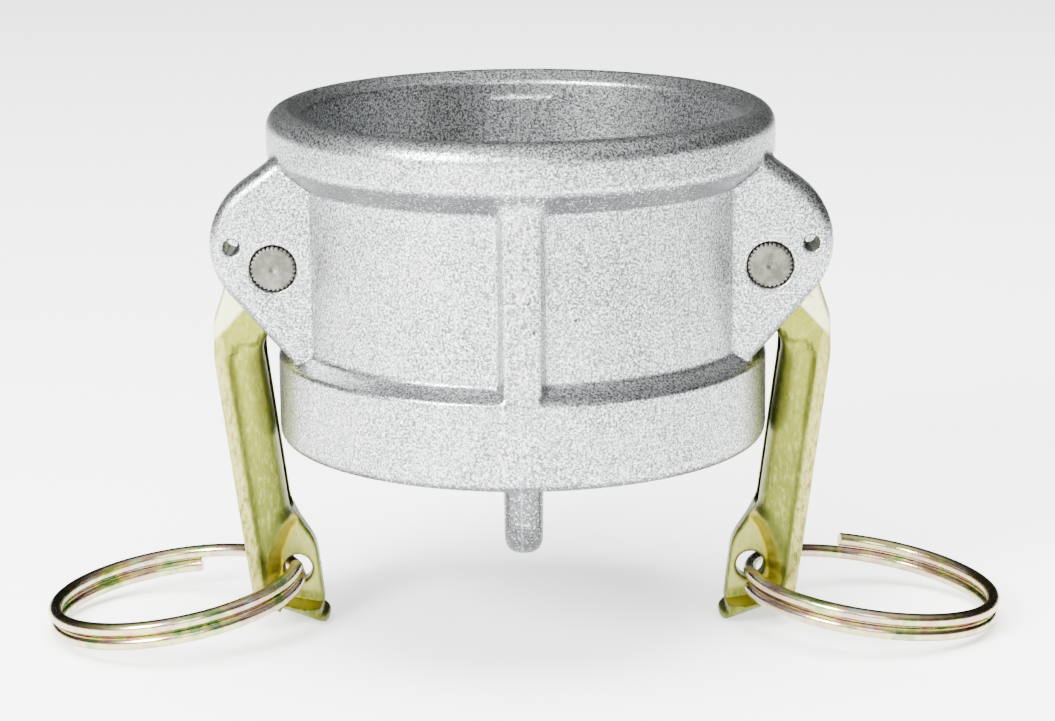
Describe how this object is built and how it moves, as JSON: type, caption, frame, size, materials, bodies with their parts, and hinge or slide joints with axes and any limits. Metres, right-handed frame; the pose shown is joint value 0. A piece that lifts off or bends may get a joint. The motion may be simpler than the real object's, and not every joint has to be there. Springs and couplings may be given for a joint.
{
  "type": "camlock dust cap",
  "caption": "Camlock dust cap: cast aluminium cap with yellow plated pressed steel cam arms, splined pivot pins, split pull rings, a chain lug and a flat rubber gasket.",
  "frame": {"origin": "centre of the gasket's sealing face, on the bore axis", "axes": "+Z along the bore axis, out of the mouth; the arms' pivot pins lie along Y, one at +X and one at -X, and the picture's camera looks along +Y"},
  "size_m": [0.2122, 0.1104, 0.1161],
  "materials": {
    "cast_aluminium": "sand cast",
    "plated_steel": "yellow chromate plated",
    "ring_steel": "yellow chromate plated, bright",
    "pin_steel": "turned, plain",
    "gasket_rubber": "moulded, matt"
  },
  "bodies": {
    "cap": {"cap_body": "cast_aluminium", "gasket": "gasket_rubber", "pivot_pin_left": "pin_steel", "pivot_pin_right": "pin_steel"},
    "arm_left": {"cam_arm_left": "plated_steel"},
    "arm_right": {"cam_arm_right": "plated_steel"},
    "ring_left": {"pull_ring_left": "ring_steel"},
    "ring_right": {"pull_ring_right": "ring_steel"}
  },
  "joints": [
    {"name": "cam_arm_left_hinge", "type": "hinge", "parent": "cap", "child": "arm_left", "pos_m": [-0.05285, 0, 0.026], "axis": [0, 1, 0], "range_deg": [0, 115]},
    {"name": "cam_arm_right_hinge", "type": "hinge", "parent": "cap", "child": "arm_right", "pos_m": [0.05285, 0, 0.026], "axis": [0, -1, 0], "range_deg": [0, 115]},
    {"name": "pull_ring_left_hinge", "type": "hinge", "parent": "arm_left", "child": "ring_left", "pos_m": [-0.05049, 0, -0.04619], "axis": [0, 1, 0], "range_deg": [-100, 70]},
    {"name": "pull_ring_right_hinge", "type": "hinge", "parent": "arm_right", "child": "ring_right", "pos_m": [0.05049, 0, -0.04619], "axis": [0, -1, 0], "range_deg": [-100, 70]}
  ]
}
